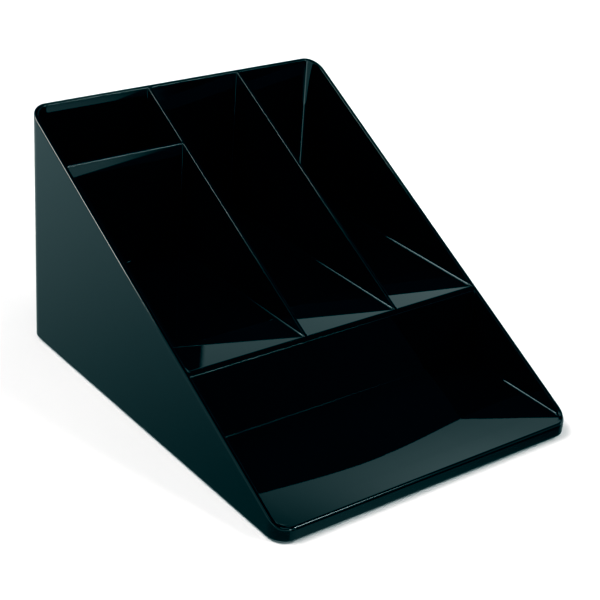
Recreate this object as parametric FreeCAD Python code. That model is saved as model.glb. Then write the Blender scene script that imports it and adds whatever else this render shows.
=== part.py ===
"""Stepped desk organiser: one glossy moulding with a sloping rim, five open pockets and four push-in feet.

The moulding is written out panel by panel, as walls, floors, dividers and foot posts that meet face to
face. Millimetres. The origin is the centre of the footprint on the table: +X is right, +Y is to the rear
and +Z is up.
"""

import FreeCAD, Part
import math
import os

V = FreeCAD.Vector

# Driving dimensions of the whole moulding
WIDTH = 230.0
DEPTH = 287.0
REAR_HEIGHT = 164.0
RIM_ANGLE = 28.5
WALL = 2.8
CORNER_RADIUS = 12.0
BODY_LIFT = 1.5

# Floors and the step between them
UPPER_FLOOR_TOP = 62.0
TRAY_FLOOR_TOP = 10.5
RISER_FACE_Y = -47.4
NOSE_RADIUS = 2.6

# Dividers, by the places of their middle planes
DIVIDER = 2.0
LEFT_DIVIDER_X = -25.8
RIGHT_DIVIDER_X = 46.2
CROSS_DIVIDER_Y = 97.5
DIVIDER_TIP_HEIGHT = 1.2

# Roundings of the rims
RIM_OUTER_RADIUS = 0.9
RIM_INNER_RADIUS = 0.6
DIVIDER_RIM_RADIUS = 0.8
BASE_RADIUS = 1.2

# Push-in feet and the posts that hold them
FOOT_X = 96.0
FOOT_Y = 124.0
FOOT_RADIUS = 7.0
FOOT_HEAD = 3.0
FOOT_ROUND = 1.0
STEM_RADIUS = 3.9
STEM_LENGTH = 4.0
POST_BORE_RADIUS = 4.0

# Sizes worked out from the driving dimensions
HALF_WIDTH = WIDTH / 2
HALF_DEPTH = DEPTH / 2
INNER_X = HALF_WIDTH - WALL
INNER_Y = HALF_DEPTH - WALL
CORNER_X = HALF_WIDTH - CORNER_RADIUS
CORNER_Y = HALF_DEPTH - CORNER_RADIUS
INNER_CORNER_RADIUS = CORNER_RADIUS - WALL
UPPER_FLOOR_UNDERSIDE = UPPER_FLOOR_TOP - WALL
TRAY_FLOOR_UNDERSIDE = TRAY_FLOOR_TOP - WALL
RIM_SLOPE = math.tan(math.radians(RIM_ANGLE))
TOLERANCE = 0.001


def rim_height(y):
    """Height of the sloping rim plane above the table."""
    return REAR_HEIGHT - RIM_SLOPE * (HALF_DEPTH - y)


def rim_y(z):
    """Place along the depth where the rim plane has this height."""
    return HALF_DEPTH - (REAR_HEIGHT - z) / RIM_SLOPE


def box(x_range, y_range, z_range):
    """Box between two limits along each axis."""
    low = V(x_range[0], y_range[0], z_range[0])
    return Part.makeBox(x_range[1] - x_range[0], y_range[1] - y_range[0], z_range[1] - z_range[0], low)


def cylinder(x, y, radius, z_range):
    """Upright cylinder."""
    return Part.makeCylinder(radius, z_range[1] - z_range[0], V(x, y, z_range[0]))


def under_rim(shape):
    """What is left of a shape under the rim plane."""
    reach = HALF_WIDTH + 1
    outline = [
        V(-reach, -HALF_DEPTH, 0),
        V(-reach, HALF_DEPTH, 0),
        V(-reach, HALF_DEPTH, REAR_HEIGHT),
        V(-reach, -HALF_DEPTH, rim_height(-HALF_DEPTH)),
    ]
    face = Part.Face(Part.makePolygon(outline + outline[:1]))
    return shape.common(face.extrude(V(2 * reach, 0, 0)))


def round_edges(solid, radius, chosen):
    """Rounds the edges whose middle point passes the test."""
    edges = []
    for edge in solid.Edges:
        middle = edge.valueAt((edge.FirstParameter + edge.LastParameter) / 2)
        if chosen(middle):
            edges.append(edge)
    return solid.makeFillet(radius, edges)


def near(a, b):
    """True if two sizes are the same within the tolerance."""
    return abs(a - b) < TOLERANCE


def on_rim(point):
    """True if a point lies in the rim plane."""
    return near(point.z, rim_height(point.y))


def side_wall(side):
    """Straight run of the left (-1) or right (1) wall between its two corners."""
    x_range = sorted((side * INNER_X, side * HALF_WIDTH))
    wall = under_rim(box(x_range, (-CORNER_Y, CORNER_Y), (BODY_LIFT, REAR_HEIGHT)))
    outer, inner = side * HALF_WIDTH, side * INNER_X
    wall = round_edges(wall, RIM_OUTER_RADIUS, lambda p: near(p.x, outer) and on_rim(p))
    wall = round_edges(wall, RIM_INNER_RADIUS, lambda p: near(p.x, inner) and on_rim(p))
    return round_edges(wall, BASE_RADIUS, lambda p: near(p.x, outer) and near(p.z, BODY_LIFT))


def rear_wall():
    """Straight run of the rear wall between its two corners."""
    wall = under_rim(box((-CORNER_X, CORNER_X), (INNER_Y, HALF_DEPTH), (BODY_LIFT, REAR_HEIGHT)))
    wall = round_edges(wall, RIM_OUTER_RADIUS, lambda p: near(p.y, HALF_DEPTH) and on_rim(p))
    wall = round_edges(wall, RIM_INNER_RADIUS, lambda p: near(p.y, INNER_Y) and on_rim(p))
    return round_edges(wall, BASE_RADIUS, lambda p: near(p.y, HALF_DEPTH) and near(p.z, BODY_LIFT))


def front_wall():
    """Low front wall, rounded over from the front face to the tray floor."""
    wall = box((-CORNER_X, CORNER_X), (-HALF_DEPTH, -INNER_Y), (BODY_LIFT, TRAY_FLOOR_TOP))
    wall = round_edges(wall, NOSE_RADIUS, lambda p: near(p.y, -HALF_DEPTH) and near(p.z, TRAY_FLOOR_TOP))
    return round_edges(wall, BASE_RADIUS, lambda p: near(p.y, -HALF_DEPTH) and near(p.z, BODY_LIFT))


def quarter_ring(side, end, z_range):
    """Quarter of a ring at one vertical corner: side is -1 or 1 along X, end is -1 or 1 along Y."""
    x, y = side * CORNER_X, end * CORNER_Y
    ring = cylinder(x, y, CORNER_RADIUS, z_range).cut(cylinder(x, y, INNER_CORNER_RADIUS, z_range))
    quadrant = box(sorted((x, x + side * CORNER_RADIUS)), sorted((y, y + end * CORNER_RADIUS)), z_range)
    return ring.common(quadrant)


def corner_distance(point, side, end):
    """Distance of a point from a corner's upright axis."""
    return math.hypot(point.x - side * CORNER_X, point.y - end * CORNER_Y)


def rear_corner(side):
    """Rounded vertical corner between a side wall and the rear wall."""
    corner = under_rim(quarter_ring(side, 1, (BODY_LIFT, REAR_HEIGHT)))

    def on_radius(point, radius):
        return near(corner_distance(point, side, 1), radius)

    corner = round_edges(corner, RIM_OUTER_RADIUS, lambda p: on_radius(p, CORNER_RADIUS) and on_rim(p))
    corner = round_edges(corner, RIM_INNER_RADIUS, lambda p: on_radius(p, INNER_CORNER_RADIUS) and on_rim(p))
    return round_edges(corner, BASE_RADIUS, lambda p: on_radius(p, CORNER_RADIUS) and near(p.z, BODY_LIFT))


def front_corner(side):
    """Rounded front corner, where the side wall's rim comes down to the tray floor."""
    low = quarter_ring(side, -1, (BODY_LIFT, TRAY_FLOOR_TOP))

    def on_outer_edge(point, z):
        return near(corner_distance(point, side, -1), CORNER_RADIUS) and near(point.z, z)

    low = round_edges(low, NOSE_RADIUS, lambda p: on_outer_edge(p, TRAY_FLOOR_TOP))
    low = round_edges(low, BASE_RADIUS, lambda p: on_outer_edge(p, BODY_LIFT))
    sloping = under_rim(quarter_ring(side, -1, (TRAY_FLOOR_TOP - NOSE_RADIUS, rim_height(-CORNER_Y))))
    return low.fuse(sloping).removeSplitter()


def rounded_plate(y_range, z_range, rounded_end):
    """Floor plate between the side walls, with the two corners at one end (-1 or 1) rounded."""
    plate = box((-INNER_X, INNER_X), y_range, z_range)
    end_y = y_range[0] if rounded_end < 0 else y_range[1]

    def at_corner(point):
        return near(abs(point.x), INNER_X) and near(point.y, end_y)

    return round_edges(plate, INNER_CORNER_RADIUS, at_corner)


def upper_floor():
    """Raised floor of the rear pockets, with a rounded nose over the riser."""
    floor = rounded_plate((RISER_FACE_Y, INNER_Y), (UPPER_FLOOR_UNDERSIDE, UPPER_FLOOR_TOP), 1)
    return round_edges(floor, NOSE_RADIUS, lambda p: near(p.y, RISER_FACE_Y) and near(p.z, UPPER_FLOOR_TOP))


def step_riser():
    """Upright face between the tray floor and the raised floor."""
    z_range = (TRAY_FLOOR_TOP, UPPER_FLOOR_UNDERSIDE)
    return box((-INNER_X, INNER_X), (RISER_FACE_Y, RISER_FACE_Y + WALL), z_range)


def front_tray_floor():
    """Low floor of the open front tray."""
    return rounded_plate((-INNER_Y, RISER_FACE_Y + WALL), (TRAY_FLOOR_UNDERSIDE, TRAY_FLOOR_TOP), -1)


def long_divider(x):
    """Divider from the step to the rear wall, falling with the rim to almost nothing at the step."""
    x_range = (x - DIVIDER / 2, x + DIVIDER / 2)
    y_range = (rim_y(UPPER_FLOOR_TOP + DIVIDER_TIP_HEIGHT), INNER_Y)
    divider = under_rim(box(x_range, y_range, (UPPER_FLOOR_TOP, REAR_HEIGHT)))
    return round_edges(divider, DIVIDER_RIM_RADIUS, lambda p: not near(p.x, x) and on_rim(p))


def cross_divider():
    """Divider that parts the small rear pocket from the left pocket."""
    x_range = (-INNER_X, LEFT_DIVIDER_X - DIVIDER / 2)
    y_range = (CROSS_DIVIDER_Y - DIVIDER / 2, CROSS_DIVIDER_Y + DIVIDER / 2)
    divider = under_rim(box(x_range, y_range, (UPPER_FLOOR_TOP, REAR_HEIGHT)))
    return round_edges(divider, DIVIDER_RIM_RADIUS, lambda p: not near(p.y, CROSS_DIVIDER_Y) and on_rim(p))


def foot_post(x, y, top):
    """Tubular post under a floor, open below for the foot's stem."""
    z_range = (FOOT_HEAD, top)
    return cylinder(x, y, FOOT_RADIUS, z_range).cut(cylinder(x, y, POST_BORE_RADIUS, z_range))


def foot(x, y):
    """Push-in rubber foot: a round head with a softened lower edge, and a stem."""
    head = cylinder(x, y, FOOT_RADIUS, (0, FOOT_HEAD))
    head = round_edges(head, FOOT_ROUND, lambda p: near(p.z, 0))
    return head.fuse(cylinder(x, y, STEM_RADIUS, (FOOT_HEAD, FOOT_HEAD + STEM_LENGTH)))


def organiser_nodes():
    """Every node of the organiser by name."""
    nodes = {
        "rear_wall": rear_wall(),
        "front_wall": front_wall(),
        "upper_floor": upper_floor(),
        "step_riser": step_riser(),
        "front_tray_floor": front_tray_floor(),
        "left_divider": long_divider(LEFT_DIVIDER_X),
        "right_divider": long_divider(RIGHT_DIVIDER_X),
        "cross_divider": cross_divider(),
    }
    ends = (("front", -1, TRAY_FLOOR_UNDERSIDE), ("rear", 1, UPPER_FLOOR_UNDERSIDE))
    for side_name, side in (("left", -1), ("right", 1)):
        nodes[f"{side_name}_side_wall"] = side_wall(side)
        nodes[f"rear_{side_name}_corner"] = rear_corner(side)
        nodes[f"front_{side_name}_corner"] = front_corner(side)
        for end_name, end, post_top in ends:
            x, y = side * FOOT_X, end * FOOT_Y
            nodes[f"{end_name}_{side_name}_foot_post"] = foot_post(x, y, post_top)
            nodes[f"{end_name}_{side_name}_foot"] = foot(x, y)
    return nodes


os.makedirs("parts", exist_ok=True)
for name, shape in organiser_nodes().items():
    shape.exportStep(f"parts/{name}.step")
    print(f"{name}: valid {shape.isValid()}, solids {len(shape.Solids)}, {shape.Volume / 1000:.2f} cm3")
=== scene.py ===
"""Stepped desk organiser: the finished surface of its one-piece moulding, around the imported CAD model.

Metres, in the frame of the CAD model: +X right, +Y to the rear, +Z up, origin under the middle of the part.
"""

import math

import bmesh
import bpy
from mathutils import Matrix, Vector


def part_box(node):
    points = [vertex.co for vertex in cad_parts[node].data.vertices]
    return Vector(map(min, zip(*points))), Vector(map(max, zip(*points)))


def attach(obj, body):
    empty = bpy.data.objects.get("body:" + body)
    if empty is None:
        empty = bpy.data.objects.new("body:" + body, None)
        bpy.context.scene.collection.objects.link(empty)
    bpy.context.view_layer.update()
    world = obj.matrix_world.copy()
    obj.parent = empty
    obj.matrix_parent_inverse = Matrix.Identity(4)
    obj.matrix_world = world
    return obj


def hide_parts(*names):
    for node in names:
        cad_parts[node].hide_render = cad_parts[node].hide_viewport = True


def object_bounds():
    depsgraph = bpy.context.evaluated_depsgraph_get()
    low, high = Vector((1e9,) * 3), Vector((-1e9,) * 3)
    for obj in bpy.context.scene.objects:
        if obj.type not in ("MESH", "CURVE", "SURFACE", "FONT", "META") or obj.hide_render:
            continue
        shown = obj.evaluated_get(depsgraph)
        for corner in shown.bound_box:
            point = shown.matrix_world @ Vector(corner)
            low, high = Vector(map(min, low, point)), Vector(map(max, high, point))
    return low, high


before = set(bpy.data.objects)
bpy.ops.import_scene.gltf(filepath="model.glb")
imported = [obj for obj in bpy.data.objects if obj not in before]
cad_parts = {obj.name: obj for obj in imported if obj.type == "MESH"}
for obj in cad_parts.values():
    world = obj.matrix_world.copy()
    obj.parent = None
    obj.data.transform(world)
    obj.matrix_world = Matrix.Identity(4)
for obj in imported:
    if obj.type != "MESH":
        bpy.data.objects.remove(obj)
cad_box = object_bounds()

MM = 0.001

# The sloping rim plane, which everything above the tray lies under, as in the CAD model
REAR_HEIGHT = 164.0 * MM
RIM_SLOPE = math.tan(math.radians(28.5))

# Sizes read from the CAD model
LEFT, FRONT = cad_box[0].x, cad_box[0].y
RIGHT, REAR = cad_box[1].x, cad_box[1].y
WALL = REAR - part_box("rear_wall")[0].y
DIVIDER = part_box("left_divider")[1].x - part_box("left_divider")[0].x
LEFT_DIVIDER_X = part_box("left_divider")[1].x - DIVIDER / 2
RIGHT_DIVIDER_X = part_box("right_divider")[1].x - DIVIDER / 2
CROSS_DIVIDER_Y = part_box("cross_divider")[1].y - DIVIDER / 2
UPPER_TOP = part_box("upper_floor")[1].z
TRAY_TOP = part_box("front_tray_floor")[1].z
RISER_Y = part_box("step_riser")[0].y
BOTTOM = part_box("rear_wall")[0].z

# Roundings of the moulding
CORNER_RADIUS = 12.0 * MM
POCKET_CORNER_RADIUS = 0.3 * MM
RIM_RADIUS = 0.3 * MM
COVE_RADIUS = 1.2 * MM
END_COVE_RADIUS = 0.12 * MM
STEP_EDGE_RADIUS = 0.2 * MM
BASE_RADIUS = 0.8 * MM
BASE_INNER_RADIUS = BASE_RADIUS / 2

# Outer rounding of the rim, as its width and its drop: sides, rear and front
SIDE_RIM = (0.9 * MM, 0.9 * MM)
REAR_RIM = (1.4 * MM, 2.0 * MM)
FRONT_RIM = (1.6 * MM, 1.6 * MM)
FRONT_RIDGE_INSET = 1.9 * MM

# Lengths over which the rim levels out at the tray, and the raised floor bends down at the step
RIM_BLEND = 0.5 * MM
STEP_BLEND = 0.5 * MM

# The floors aren't quite flat: the raised one bulges, and the tray's sinks most left of its middle
UPPER_CROWN = 0.05 * MM
TRAY_DISH = 1.6 * MM
TRAY_DISH_SKEW = 1.1
TRAY_DISH_SHARPNESS = 1.6

# The step's edge is cut by the rim plane; its ridge line is in the middle of that bevel
RIM_MEETS_FLOOR = REAR - (REAR_HEIGHT - UPPER_TOP) / RIM_SLOPE
STEP_Y = (RIM_MEETS_FLOOR + RISER_Y) / 2

# Mesh density: rings run from a ridge line over the rim, down the wall, round the cove and out over the
# floor. HOLD is how far a supporting ring stands from a rounding.
RIM_STEPS = 4
COVE_STEPS = 6
SKIRT_RIM_STEPS = 6
SKIRT_BASE_STEPS = 3
HOLD = 0.6 * MM
RIM_END = 1 + RIM_STEPS
COVE_START = RIM_END + 2
FLOOR_RING = COVE_START + COVE_STEPS + 1
CELL = 7.0 * MM
WELD_DISTANCE = 0.002 * MM
LARGE_FACE_WEIGHT = 60

# The zone beside each ridge line where mesh lines crowd towards it
ZONE = FLOOR_RING + 6
ZONE_SIZE = 14.0 * MM
ZONE_BIAS = 1.8


def mix(a, b, t):
    """Value between a and b."""
    return a + (b - a) * t


def smooth(t):
    """Smooth step between 0 and 1."""
    t = min(max(t, 0.0), 1.0)
    return t * t * (3 - 2 * t)


# Ridge lines: the middles of the walls and dividers, and the edge of the step


def places_between(start, end):
    """Places of the mesh lines between two ridges: close together near both and evenly spaced between."""
    zone = [ZONE_SIZE * (i / ZONE) ** ZONE_BIAS for i in range(ZONE + 1)]
    count = max(round((end - start - 2 * ZONE_SIZE) / CELL), 1)
    step = (end - start - 2 * ZONE_SIZE) / count
    middle = [start + ZONE_SIZE + step * i for i in range(1, count)]
    return [start + z for z in zone] + middle + [end - z for z in reversed(zone)]


def joined(*stretches):
    """One list of places from stretches that share their ends."""
    places = list(stretches[0])
    for stretch in stretches[1:]:
        places += stretch[1:]
    return places


LEFT_COLUMN = places_between(LEFT + WALL / 2, LEFT_DIVIDER_X)
MIDDLE_COLUMN = places_between(LEFT_DIVIDER_X, RIGHT_DIVIDER_X)
RIGHT_COLUMN = places_between(RIGHT_DIVIDER_X, RIGHT - WALL / 2)
TRAY_ROW = places_between(FRONT + FRONT_RIDGE_INSET, STEP_Y)
LOW_ROW = places_between(STEP_Y, CROSS_DIVIDER_Y)
REAR_ROW = places_between(CROSS_DIVIDER_Y, REAR - WALL / 2)
ALL_COLUMNS = joined(LEFT_COLUMN, MIDDLE_COLUMN, RIGHT_COLUMN)
ALL_ROWS = joined(TRAY_ROW, LOW_ROW, REAR_ROW)


# Heights of the rim and the floors


def rim(y):
    """Height of the sloping rim plane."""
    return REAR_HEIGHT - RIM_SLOPE * (REAR - y)


def wall_top(y):
    """Height of the ridge of the outer walls: the rim plane, levelling out at the tray floor."""
    gap = abs(rim(y) - TRAY_TOP)
    return max(rim(y), TRAY_TOP) + max(RIM_BLEND - gap, 0.0) ** 2 / (4 * RIM_BLEND)


def step_edge(y):
    """Height of the raised floor, which bends down along the rim plane at the step."""
    gap = abs(rim(y) - UPPER_TOP)
    return min(rim(y), UPPER_TOP) - max(STEP_BLEND - gap, 0.0) ** 2 / (4 * STEP_BLEND)


def off_middle(value, places):
    """Where a value lies in a row of places: -1 at the first, 0 in the middle and 1 at the last."""
    return (2 * value - places[0] - places[-1]) / (places[-1] - places[0])


def raised_floor(xs, ys):
    """Height of the raised floor of one pocket, which bulges from nothing at its edges."""

    def floor(x, y):
        across, along = off_middle(x, xs), off_middle(y, ys)
        return step_edge(y) + UPPER_CROWN * max(1 - across * across, 0.0) * max(1 - along * along, 0.0)

    return floor


def tray_floor(x, y):
    """Height of the tray floor, which sinks most left of its middle."""
    across = (1 - (x - ALL_COLUMNS[0]) / (ALL_COLUMNS[-1] - ALL_COLUMNS[0])) ** TRAY_DISH_SKEW
    along = (y - TRAY_ROW[0]) / (TRAY_ROW[-1] - TRAY_ROW[0])
    hump = (4 * across * (1 - across)) ** TRAY_DISH_SHARPNESS
    return TRAY_TOP - TRAY_DISH * hump * 4 * along * (1 - along)


def ceiling(y):
    """Height of the hollow's ceiling: low under the tray and high behind the riser."""
    inner_face = RISER_Y + WALL
    return mix(TRAY_TOP, UPPER_TOP, smooth((y - inner_face + HOLD) / (2 * HOLD))) - WALL


# Rings of a side. Each ring is its inset from the ridge line, its drop below the top, its lift above the
# floor, and the share of the floor in its height. Rings are numbered from 0 at the ridge to FLOOR_RING.

ON_THE_FLOOR = (0.0, 0.0, 0.0, 1.0)


def wall_side(half, rim_radius, cove=COVE_RADIUS, start=0.0):
    """Rings of a wall: flat top from the inset where it starts, rounded rim, upright face and cove."""

    def ring(number):
        if number == 0:
            return start, 0.0, 0.0, 0.0
        if number <= RIM_END:
            turn = math.pi / 2 * (number - 1) / RIM_STEPS
            return half - rim_radius * (1 - math.sin(turn)), rim_radius * (1 - math.cos(turn)), 0.0, 0.0
        if number < COVE_START:
            return half, rim_radius + HOLD, 0.0, 0.0
        turn = math.pi / 2 * min((number - COVE_START) / COVE_STEPS, 1.0)
        inset = half + cove * (1 - math.cos(turn)) + (HOLD if number == FLOOR_RING else 0.0)
        return inset, 0.0, cove * (1 - math.sin(turn)), 1.0

    return ring


def open_side():
    """Rings of a side with no wall, spaced like those of a wall."""
    spacing = wall_side(WALL / 2, RIM_RADIUS)
    return lambda number: (spacing(number)[0], 0.0, 0.0, 1.0 if number else 0.0)


def hollow_side(ridge_inset):
    """Rings of the hollow underside: lower edge, inner face of a wall and cove into the ceiling."""
    return wall_side(WALL - ridge_inset, BASE_INNER_RADIUS, start=BASE_RADIUS - ridge_inset)


def skirt_side(ridge_inset, rounding):
    """Rings of the outer face, from the ridge down to the lower edge, with outward offsets for insets."""
    width, depth = rounding
    rings = [(0.0, 0.0, 0.0, 0.0)]
    for i in range(SKIRT_RIM_STEPS + 1):
        turn = math.pi / 2 * i / SKIRT_RIM_STEPS
        offset = ridge_inset - width * (1 - math.sin(turn))
        rings.append((offset, depth * (1 - math.cos(turn)), 0.0, 0.0))
    rings.append((ridge_inset, depth + HOLD, 0.0, 0.0))
    rings.append((ridge_inset, 0.0, BASE_RADIUS + HOLD, 1.0))
    for i in range(SKIRT_BASE_STEPS + 1):
        turn = math.pi / 2 * i / SKIRT_BASE_STEPS
        offset = ridge_inset - BASE_RADIUS * (1 - math.cos(turn))
        rings.append((offset, 0.0, BASE_RADIUS * (1 - math.sin(turn)), 1.0))
    return rings


def blended_ring(ring_x, ring_y, turn):
    """Ring between those of two sides, where a corner turns from the one into the other."""
    return [mix(a, b, smooth(turn)) for a, b in zip(ring_x, ring_y)]


# Corners. Each gives the two radii of a ring from its number and its insets in X and in Y.


def moulding_corner(front=False):
    """Corner of the whole moulding: its radii shrink as the insets grow."""
    ridge_radius_x = CORNER_RADIUS - WALL / 2
    ridge_radius_y = CORNER_RADIUS - (FRONT_RIDGE_INSET if front else WALL / 2)
    return lambda number, inset_x, inset_y: (ridge_radius_x - inset_x, ridge_radius_y - inset_y)


def pocket_corner(number, inset_x, inset_y):
    """Corner between two walls of a pocket: sharp at the ridge and rounded down the walls."""
    radius = POCKET_CORNER_RADIUS * min(number / RIM_END, 1.0)
    return radius, radius


def corner_set(front, rear):
    """The four corners of a pocket, keyed by whether they are at the right and whether at the rear."""
    return {(False, False): front, (True, False): front, (False, True): rear, (True, True): rear}


def half_corner(share, inset_x, inset_y, radius_x, radius_y):
    """Point of a rounded corner's half that runs on along X, and its turn.

    Share 0 is the middle of the corner, with a turn of 0.5, and share 1 is the end of the zone, with 1.
    """
    arc = math.pi / 8 * (radius_x + radius_y)
    along = (arc + ZONE_SIZE - inset_x - radius_x) * share ** ZONE_BIAS
    if along >= arc:
        return inset_x + radius_x + along - arc, inset_y, 1.0
    angle = math.pi / 4 * (1 + along / arc)
    x = inset_x + radius_x * (1 - math.cos(angle))
    y = inset_y + radius_y * (1 - math.sin(angle))
    return x, y, angle * 2 / math.pi


def other_half_corner(share, inset_x, inset_y, radius_x, radius_y):
    """Point of a rounded corner's half that runs on along Y, and its turn, from 0.5 down to 0."""
    y, x, turn = half_corner(share, inset_y, inset_x, radius_y, radius_x)
    return x, y, 1 - turn


# Pockets


def corner_ring(sides, corner, number):
    """Insets and radii of a ring at a corner, closing up to a square corner at the edge of its zone."""
    last = min(number, FLOOR_RING)
    inset_x, inset_y = sides[0](last)[0], sides[1](last)[0]
    values = (inset_x, inset_y, *corner(last, inset_x, inset_y))
    at_zone_edge = (ZONE_SIZE, ZONE_SIZE, 0.0, 0.0)
    closing = max(number - FLOOR_RING, 0) / (ZONE - FLOOR_RING)
    return [mix(value, end, closing) for value, end in zip(values, at_zone_edge)]


def pocket_point(xs, ys, i, j, sides, corners, height):
    """Point of a pocket's grid."""
    last_i, last_j = len(xs) - 1, len(ys) - 1
    at_right, at_rear = i > last_i / 2, j > last_j / 2
    from_side, from_end = min(i, last_i - i), min(j, last_j - j)
    number = min(from_side, from_end)
    if number >= ZONE:
        return xs[i], ys[j], height(xs[i], ys[j], ON_THE_FLOOR)

    left, right, front, rear = sides
    side_x, side_y = (right if at_right else left), (rear if at_rear else front)
    insets_and_radii = corner_ring((side_x, side_y), corners[at_right, at_rear], number)
    x, y = insets_and_radii[:2]
    turn = 1.0 if from_side > from_end else 0.0
    if from_side < ZONE and from_end < ZONE:
        half = half_corner if from_side >= from_end else other_half_corner
        x, y, turn = half((max(from_side, from_end) - number) / (ZONE - number), *insets_and_radii)
    x = xs[-1] - x if at_right else xs[0] + x
    y = ys[-1] - y if at_rear else ys[0] + y
    if from_side >= ZONE:
        x = xs[i]
    if from_end >= ZONE:
        y = ys[j]
    last = min(number, FLOOR_RING)
    return x, y, height(x, y, blended_ring(side_x(last), side_y(last), turn))


def add_pocket(bm, xs, ys, sides, corners, height, flip=False):
    """Adds one pocket as a full grid. Its sides are left, right, front and rear."""
    grid = []
    for j in range(len(ys)):
        points = (pocket_point(xs, ys, i, j, sides, corners, height) for i in range(len(xs)))
        grid.append([bm.verts.new(point) for point in points])
    for lower, upper in zip(grid, grid[1:]):
        for i in range(len(xs) - 1):
            face = (lower[i], lower[i + 1], upper[i + 1], upper[i])
            bm.faces.new(reversed(face) if flip else face)


def pocket_height(floor):
    """Height of a point of a pocket from its ring, between the walls' top and the floor.

    The roundings shrink where a wall is too low for them.
    """
    whole = RIM_RADIUS + COVE_RADIUS + 2 * HOLD

    def height(x, y, ring):
        _, drop, lift, share = ring
        top, base = wall_top(y), floor(x, y)
        fit = min(max((top - base) / whole, 0.0), 1.0)
        return mix(top - drop * fit, base + lift * fit, share)

    return height


def add_pockets(bm):
    """The four upper pockets and the tray, each from ridge to ridge."""
    outer = wall_side(WALL / 2, RIM_RADIUS)
    rear = wall_side(WALL / 2, RIM_RADIUS, END_COVE_RADIUS)
    divider = wall_side(DIVIDER / 2, RIM_RADIUS)
    cross = wall_side(DIVIDER / 2, RIM_RADIUS, END_COVE_RADIUS)
    riser = wall_side(STEP_Y - RISER_Y, STEP_EDGE_RADIUS, END_COVE_RADIUS)
    open_edge = open_side()
    long_row = joined(LOW_ROW, REAR_ROW)
    rear_left, rear_right = (False, True), (True, True)
    layout = (
        (LEFT_COLUMN, REAR_ROW, (outer, divider, cross, rear), rear_left),
        (LEFT_COLUMN, LOW_ROW, (outer, divider, open_edge, cross), None),
        (MIDDLE_COLUMN, long_row, (divider, divider, open_edge, rear), None),
        (RIGHT_COLUMN, long_row, (divider, outer, open_edge, rear), rear_right),
    )
    for xs, ys, sides, moulding_end in layout:
        corners = corner_set(pocket_corner, pocket_corner)
        if moulding_end:
            corners[moulding_end] = moulding_corner()
        add_pocket(bm, xs, ys, sides, corners, pocket_height(raised_floor(xs, ys)))
    tray_corners = corner_set(moulding_corner(front=True), pocket_corner)
    tray_sides = (outer, outer, open_edge, riser)
    add_pocket(bm, ALL_COLUMNS, TRAY_ROW, tray_sides, tray_corners, pocket_height(tray_floor))


def add_hollow(bm):
    """The hollow underside, closed against the lower edge of the skirt."""

    def height(x, y, ring):
        _, drop, lift, share = ring
        return mix(BOTTOM + drop, ceiling(y) - lift, share)

    side, front = hollow_side(WALL / 2), hollow_side(FRONT_RIDGE_INSET)
    corners = corner_set(moulding_corner(front=True), moulding_corner())
    add_pocket(bm, ALL_COLUMNS, ALL_ROWS, (side, side, front, side), corners, height, flip=True)


# The outside of the moulding


def outline_stations():
    """Stations round the ridge, anticlockwise, each with its side, number, last number and place."""
    stations = []
    for side in ("front", "right", "rear", "left"):
        places = ALL_COLUMNS if side in ("front", "rear") else ALL_ROWS
        last = len(places) - 1
        order = range(last) if side in ("front", "right") else range(last, 0, -1)
        stations += [(side, i, last, places[i]) for i in order]
    return stations


def outline_point(station, offsets):
    """Place and turn of a station with the sides moved out by their offsets, and if it is at the rear."""
    side, i, last, place = station
    runs_along_x = side in ("front", "rear")
    at_end = i > last / 2
    at_right = at_end if runs_along_x else side == "right"
    at_rear = side == "rear" if runs_along_x else at_end
    inset_x = -offsets["right" if at_right else "left"]
    inset_y = -offsets["rear" if at_rear else "front"]
    x, y, turn = inset_x, inset_y, 1.0 if runs_along_x else 0.0
    from_corner = min(i, last - i)
    if from_corner < ZONE:
        half = half_corner if runs_along_x else other_half_corner
        radii = moulding_corner(front=not at_rear)(0, inset_x, inset_y)
        x, y, turn = half(from_corner / ZONE, inset_x, inset_y, *radii)
    x = ALL_COLUMNS[-1] - x if at_right else ALL_COLUMNS[0] + x
    y = ALL_ROWS[-1] - y if at_rear else ALL_ROWS[0] + y
    if from_corner >= ZONE and runs_along_x:
        x = place
    elif from_corner >= ZONE:
        y = place
    return x, y, turn, at_rear


def add_skirt(bm):
    """The outside of the moulding, from the ridge of the rim down to the lower edge."""
    side_rings = skirt_side(WALL / 2, SIDE_RIM)
    rear_rings = skirt_side(WALL / 2, REAR_RIM)
    front_rings = skirt_side(FRONT_RIDGE_INSET, FRONT_RIM)
    stations = outline_stations()
    loops = []
    for side_ring, rear_ring, front_ring in zip(side_rings, rear_rings, front_rings):
        offsets = {
            "left": side_ring[0], "right": side_ring[0],
            "rear": rear_ring[0], "front": front_ring[0],
        }
        loop = []
        for station in stations:
            x, y, turn, at_rear = outline_point(station, offsets)
            end_ring = rear_ring if at_rear else front_ring
            _, drop, lift, share = blended_ring(side_ring, end_ring, turn)
            loop.append(bm.verts.new((x, y, mix(wall_top(y) - drop, BOTTOM + lift, share))))
        loops.append(loop)
    for upper, lower in zip(loops, loops[1:]):
        for i in range(len(upper)):
            following = (i + 1) % len(upper)
            bm.faces.new((lower[i], lower[following], upper[following], upper[i]))


def moulded_body():
    """The whole moulding as one watertight mesh."""
    bm = bmesh.new()
    add_pockets(bm)
    add_skirt(bm)
    add_hollow(bm)
    bmesh.ops.remove_doubles(bm, verts=bm.verts, dist=WELD_DISTANCE)
    mesh = bpy.data.meshes.new("moulded_body")
    bm.to_mesh(mesh)
    bm.free()
    mesh.shade_smooth()
    body = bpy.data.objects.new("moulded_body", mesh)
    bpy.context.scene.collection.objects.link(body)
    weighted = body.modifiers.new("weighted_normals", "WEIGHTED_NORMAL")
    weighted.mode = "FACE_AREA"
    weighted.weight = LARGE_FACE_WEIGHT
    return body


# Nodes shared by the materials and the world


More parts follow.
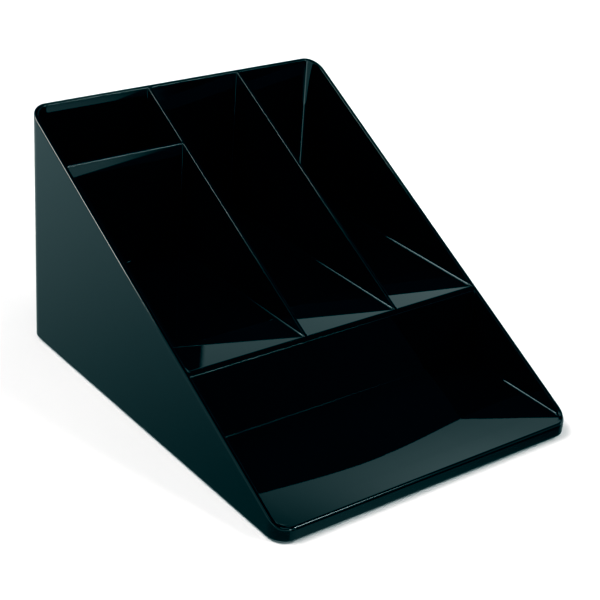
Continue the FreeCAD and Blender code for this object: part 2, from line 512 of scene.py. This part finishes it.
def remap(tree, value, source, target=(0.0, 1.0), interpolation="SMOOTHSTEP"):
    """Maps a value from one range to another, holding it at both ends."""
    node = tree.nodes.new("ShaderNodeMapRange")
    node.interpolation_type = interpolation
    for name, number in zip(("From Min", "From Max", "To Min", "To Max"), (*source, *target)):
        node.inputs[name].default_value = number
    tree.links.new(value, node.inputs["Value"])
    return node.outputs["Result"]


def math_node(tree, operation, *values):
    """Math node over sockets or numbers."""
    node = tree.nodes.new("ShaderNodeMath")
    node.operation = operation
    for socket, value in zip(node.inputs, values):
        if isinstance(value, (int, float)):
            socket.default_value = value
        else:
            tree.links.new(value, socket)
    return node.outputs["Value"]


def combined(tree, operation, values):
    """One operation over a row of sockets or numbers, from the first to the last."""
    result = values[0]
    for value in values[1:]:
        result = math_node(tree, operation, result, value)
    return result


def product(tree, *factors):
    """Product of sockets or numbers."""
    return combined(tree, "MULTIPLY", factors)


def total(tree, *parts):
    """Sum of sockets or numbers."""
    return combined(tree, "ADD", parts)


# Materials

# Most values of a noise lie in this range
NOISE_SPAN = (0.3, 0.7)


def new_material(name):
    """A node material, its tree and its Principled shader."""
    material = bpy.data.materials.new(name)
    material.use_nodes = True
    tree = material.node_tree
    return material, tree, tree.nodes["Principled BSDF"]


def noise(tree, scale, detail, stretch=(1, 1, 1)):
    """Noise over object coordinates, stretched along an axis if asked."""
    coordinates = tree.nodes.new("ShaderNodeTexCoord")
    mapping = tree.nodes.new("ShaderNodeMapping")
    mapping.inputs["Scale"].default_value = stretch
    texture = tree.nodes.new("ShaderNodeTexNoise")
    texture.inputs["Scale"].default_value = scale
    texture.inputs["Detail"].default_value = detail
    tree.links.new(coordinates.outputs["Object"], mapping.inputs["Vector"])
    tree.links.new(mapping.outputs["Vector"], texture.inputs["Vector"])
    return texture.outputs["Fac"]


def varied_colour(tree, shader, factor, dark, light):
    """Base colour that varies between two tones with a noise."""
    node = tree.nodes.new("ShaderNodeValToRGB")
    for element, position, colour in zip(node.color_ramp.elements, NOISE_SPAN, (dark, light)):
        element.position = position
        element.color = (*colour, 1)
    tree.links.new(factor, node.inputs["Fac"])
    tree.links.new(node.outputs["Color"], shader.inputs["Base Color"])


def varied_roughness(tree, shader, factor, low, high):
    """Roughness that varies between two values with a noise."""
    roughness = remap(tree, factor, NOISE_SPAN, (low, high), interpolation="LINEAR")
    tree.links.new(roughness, shader.inputs["Roughness"])


def bump(tree, factor, distance, strength, under=None):
    """Bump node, on top of another one if given."""
    node = tree.nodes.new("ShaderNodeBump")
    node.inputs["Distance"].default_value = distance
    node.inputs["Strength"].default_value = strength
    tree.links.new(factor, node.inputs["Height"])
    if under is not None:
        tree.links.new(under, node.inputs["Normal"])
    return node.outputs["Normal"]


def gloss_plastic():
    """Polished near-black styrene with a faint teal cast, flow marks and fine handling marks."""
    material, tree, shader = new_material("gloss_black_plastic")
    clouds = noise(tree, scale=9, detail=3)
    varied_colour(tree, shader, clouds, dark=(0.0003, 0.0008, 0.0009), light=(0.0006, 0.0013, 0.0015))
    marks = noise(tree, scale=60, detail=4, stretch=(1, 1, 0.35))
    varied_roughness(tree, shader, marks, low=0.008, high=0.022)
    flow = noise(tree, scale=16, detail=1, stretch=(1, 1, 0.5))
    waves = bump(tree, flow, distance=0.03 * MM, strength=0.6)
    grain = bump(tree, noise(tree, scale=700, detail=2), distance=0.002 * MM, strength=0.4, under=waves)
    tree.links.new(grain, shader.inputs["Normal"])
    shader.inputs["IOR"].default_value = 1.5
    return material


def soft_rubber():
    """Matt dark rubber with a fine pebbled surface."""
    material, tree, shader = new_material("foot_rubber")
    clouds = noise(tree, scale=400, detail=3)
    varied_colour(tree, shader, clouds, dark=(0.012, 0.012, 0.013), light=(0.024, 0.024, 0.025))
    varied_roughness(tree, shader, noise(tree, scale=900, detail=2), low=0.6, high=0.85)
    pebbles = bump(tree, noise(tree, scale=1500, detail=2), distance=0.05 * MM, strength=0.5)
    tree.links.new(pebbles, shader.inputs["Normal"])
    return material


def table_top():
    """Pale matt table top."""
    material, tree, shader = new_material("pale_floor")
    clouds = noise(tree, scale=3, detail=2)
    varied_colour(tree, shader, clouds, dark=(0.83, 0.83, 0.83), light=(0.87, 0.87, 0.87))
    shader.inputs["Roughness"].default_value = 0.9
    shader.inputs["Specular IOR Level"].default_value = 0.1
    return material


def set_material(piece, material):
    """Gives a piece one material in all its slots."""
    if not piece.material_slots:
        piece.data.materials.append(material)
    for slot in piece.material_slots:
        slot.material = material


# The visible pieces: one body for all the panels, and the posts and feet of the CAD model

PANELS = (
    "left_side_wall", "right_side_wall", "rear_wall", "front_wall",
    "rear_left_corner", "rear_right_corner", "front_left_corner", "front_right_corner",
    "upper_floor", "step_riser", "front_tray_floor",
    "left_divider", "right_divider", "cross_divider",
)

plastic = gloss_plastic()
rubber = soft_rubber()
body = moulded_body()
set_material(body, plastic)
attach(body, "root")
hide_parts(*PANELS)
for name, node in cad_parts.items():
    if name.endswith("_post"):
        set_material(node, plastic)
    elif name.endswith("_foot"):
        set_material(node, rubber)


# Studio: floor, soft lights and camera

FLOOR_RADIUS = 12.0
FLOOR_SEGMENTS = 96
WARM_WHITE = (1.0, 0.82, 0.76)

# Camera: angles in degrees, and the lens and sensor in millimetres
CAMERA_AZIMUTH = -38.97
CAMERA_ELEVATION = 27.29
CAMERA_ROLL = 4.39
CAMERA_DISTANCE = 973.0 * MM
CAMERA_AIM = Vector((2.2, -0.8, 60.2)) * MM
CAMERA_LENS = 90.94
CAMERA_SENSOR = 36.0


def add_floor():
    """A large round table top. The gloss doesn't see it, because the world shows a table in its place."""
    bm = bmesh.new()
    bmesh.ops.create_circle(bm, cap_ends=True, radius=FLOOR_RADIUS, segments=FLOOR_SEGMENTS)
    mesh = bpy.data.meshes.new("floor")
    bm.to_mesh(mesh)
    bm.free()
    floor = bpy.data.objects.new("floor", mesh)
    bpy.context.scene.collection.objects.link(floor)
    set_material(floor, table_top())
    floor.visible_glossy = False


def direction(azimuth, elevation):
    """Unit vector towards a place round the object: azimuth 0 is to the front, 90 to the right."""
    a, e = math.radians(azimuth), math.radians(elevation)
    return Vector((math.sin(a) * math.cos(e), -math.cos(a) * math.cos(e), math.sin(e)))


def add_softbox(name, azimuth, elevation, distance, size, radiance):
    """A rectangular soft light that faces the object and shows with this radiance in its gloss."""
    data = bpy.data.lights.new(name, "AREA")
    data.shape = "RECTANGLE"
    data.size, data.size_y = size
    data.energy = radiance * math.pi * size[0] * size[1]
    light = bpy.data.objects.new(name, data)
    bpy.context.scene.collection.objects.link(light)
    light.location = direction(azimuth, elevation) * distance
    light.rotation_euler = (-light.location).to_track_quat("-Z", "Y").to_euler()
    return light


def add_lights():
    """Two soft lights on the floor and the matt pieces, and a warm one that only the gloss shows."""
    key = add_softbox("key_box", azimuth=72, elevation=32, distance=3.0, size=(1.7, 1.3), radiance=7.0)
    key.visible_glossy = False
    fill = add_softbox("fill_box", azimuth=-118, elevation=60, distance=3.5, size=(1.5, 1.5), radiance=14.0)
    fill.visible_glossy = False
    top = add_softbox("top_box", azimuth=-118, elevation=60, distance=3.0, size=(1.3, 1.3), radiance=20.0)
    top.data.color = WARM_WHITE
    top.visible_diffuse = False


def add_camera():
    """Camera at the front left, looking down at the object."""
    data = bpy.data.cameras.new("camera")
    data.lens = CAMERA_LENS
    data.sensor_width = CAMERA_SENSOR
    camera = bpy.data.objects.new("camera", data)
    bpy.context.scene.collection.objects.link(camera)
    back = direction(CAMERA_AZIMUTH, CAMERA_ELEVATION)
    place = Matrix.Translation(CAMERA_AIM + back * CAMERA_DISTANCE)
    turn = back.to_track_quat("Z", "Y").to_matrix().to_4x4()
    camera.matrix_world = place @ turn @ Matrix.Rotation(math.radians(CAMERA_ROLL), 4, "Z")
    bpy.context.scene.camera = camera


# World: what the gloss reflects, placed by direction. Headings are 0 to the rear, 90 to the right and 180
# to the front, and negative to the left. Heights are above the horizon. Sockets hold both in radians, and
# the ranges below are in degrees.

# Radiance of the parts of the world that have one tone
FAINT_AIR = 0.01
SIDE_CARD = 0.8
STRAIGHT_CARD = 2.0
STRAIGHT_STRIP = 10.0
FRONT_STRIP = 66.0
REAR_STRIP = 11.0
QUARTER_FILL = 0.3


def remap_degrees(tree, angle, source, target=(0.0, 1.0)):
    """Maps an angle smoothly from a range in degrees to another range."""
    return remap(tree, angle, [math.radians(number) for number in source], target)


def sector(tree, angle, inside, edge):
    """One inside a range of degrees, falling softly to nothing over the edge beside it."""
    first, last = inside
    rising = remap_degrees(tree, angle, (first - edge, first))
    falling = remap_degrees(tree, angle, (last + edge, last))
    return product(tree, rising, falling)


def directions(tree):
    """The world's directions as sockets: along each axis, by angle, and above and below the horizon."""
    coordinates = tree.nodes.new("ShaderNodeTexCoord")
    split = tree.nodes.new("ShaderNodeSeparateXYZ")
    tree.links.new(coordinates.outputs["Generated"], split.inputs["Vector"])
    sky = {"right": split.outputs["X"], "rear": split.outputs["Y"], "up": split.outputs["Z"]}
    sky["heading"] = math_node(tree, "ARCTAN2", sky["right"], sky["rear"])
    sky["either_heading"] = math_node(tree, "ABSOLUTE", sky["heading"])
    sky["height"] = math_node(tree, "ARCSINE", sky["up"])
    sky["above"] = remap_degrees(tree, sky["height"], (-1, 1))
    sky["below"] = remap_degrees(tree, sky["height"], (1, -1))
    return sky


def backdrop(tree, sky):
    """Pale backdrop behind the right side, brighter to the right and fading upwards."""
    panel = sector(tree, sky["heading"], (35.1, 60), edge=0.3)
    rise = remap_degrees(tree, sky["heading"], (38, 46), (0.9, 1.05))
    fade = remap_degrees(tree, sky["height"], (42, 22))
    return product(tree, panel, rise, fade, sky["above"])


def table_with_painted_shadow(tree, sky):
    """Pale table with a painted shadow that darkens it towards the object. To the front right only its
    nearest part shows, dimly.
    """
    elsewhere = remap_degrees(tree, sky["heading"], (120, 95))
    # painted shadow: the table dims steeply below the horizon, where it lies near the object's base
    pale = remap_degrees(tree, sky["height"], (-36, -15), (0.15, 0.84))
    front_right = remap_degrees(tree, sky["heading"], (95, 120))
    dim = remap_degrees(tree, sky["height"], (-29, -37), (0.0, 0.35))
    return total(tree, product(tree, pale, elsewhere, sky["below"]), product(tree, dim, front_right))


def side_card(tree, sky):
    """Low card to the front right."""
    width = sector(tree, sky["heading"], (149.8, 158), edge=3.6)
    level = sector(tree, sky["height"], (-27, -21.5), edge=3.5)
    return product(tree, width, level, SIDE_CARD)


def straight_card(tree, sky):
    """Narrow low card straight to the front, with an upright strip light above it."""
    width = remap_degrees(tree, sky["either_heading"], (173, 178))
    card = product(tree, sector(tree, sky["height"], (-26, -14), edge=3), STRAIGHT_CARD)
    strip = product(tree, sector(tree, sky["height"], (14, 26), edge=3), STRAIGHT_STRIP)
    return product(tree, width, total(tree, card, strip))


def front_strip(tree, sky):
    """Thin bright strip light, high to the front right."""
    right_end = remap(tree, sky["right"], (0.61, 0.46))
    left_end = remap(tree, sky["right"], (0.36, 0.42))
    in_front = remap(tree, sky["rear"], (0.0, -0.1))
    level = sector(tree, sky["height"], (44, 47), edge=0.5)
    return product(tree, right_end, left_end, in_front, level, FRONT_STRIP)


def rear_strip(tree, sky):
    """Broad strip light, high to the rear left."""
    rear_end = remap(tree, sky["rear"], (0.72, 0.64))
    width = sector(tree, sky["heading"], (-38, -18), edge=1)
    level = sector(tree, sky["height"], (38, 52), edge=1)
    return product(tree, rear_end, width, level, REAR_STRIP)


def quarter_fills(tree, sky):
    """Dim fills in both front quarters and to the rear left, for the faces that the camera doesn't see."""
    front_quarters = sector(tree, sky["either_heading"], (112, 158), edge=8)
    rear_left = sector(tree, sky["heading"], (-68, -38), edge=6)
    level = sector(tree, sky["height"], (12, 42), edge=8)
    return product(tree, total(tree, front_quarters, rear_left), level, QUARTER_FILL)


def end_walls(tree, sky):
    """White surfaces square to the object: on both sides, in front, behind and above."""
    extents = (("right", (0.8, 0.88)), ("rear", (0.88, 0.94)), ("up", (0.93, 0.97)))
    walls = [remap(tree, math_node(tree, "ABSOLUTE", sky[axis]), extent) for axis, extent in extents]
    return product(tree, total(tree, *walls), sky["above"])


def add_world():
    """The surroundings that the gloss reflects, which also add a little light to the floor."""
    world = bpy.data.worlds.new("studio_air")
    world.use_nodes = True
    tree = world.node_tree
    sky = directions(tree)
    surroundings = (
        backdrop, table_with_painted_shadow, side_card, straight_card,
        front_strip, rear_strip, quarter_fills, end_walls,
    )
    strength = total(tree, FAINT_AIR, *[part(tree, sky) for part in surroundings])
    background = tree.nodes["Background"]
    tree.links.new(strength, background.inputs["Strength"])
    background.inputs["Color"].default_value = (1, 1, 1, 1)
    bpy.context.scene.world = world


# Display: each colour channel gets a black point of its own, which leaves a teal cast in the darks

BLACK_POINTS = (0.13, 0.037, 0.024)

# Display values at which a curve gets its points
CURVE_STEPS = (0.12, 0.2, 0.3, 0.42, 0.56, 0.75)


def display_to_linear(value):
    """Linear light of an sRGB display value."""
    return value / 12.92 if value <= 0.04045 else ((value + 0.055) / 1.055) ** 2.4


def grade(curve, black):
    """Bends one colour channel so that it reaches black at this display value."""
    for value in CURVE_STEPS:
        curve.points.new(display_to_linear(value), display_to_linear(max(value - black, 0) / (1 - black)))
    curve.points.new(display_to_linear(black), 0.0)
    for point in curve.points:
        point.handle_type = "VECTOR"


def set_display():
    """Standard view with the graded channels."""
    view = bpy.context.scene.view_settings
    view.view_transform = "Standard"
    view.use_curve_mapping = True
    for curve, black in zip(view.curve_mapping.curves, BLACK_POINTS):
        grade(curve, black)
    view.curve_mapping.update()


add_floor()
add_world()
add_lights()
add_camera()
set_display()
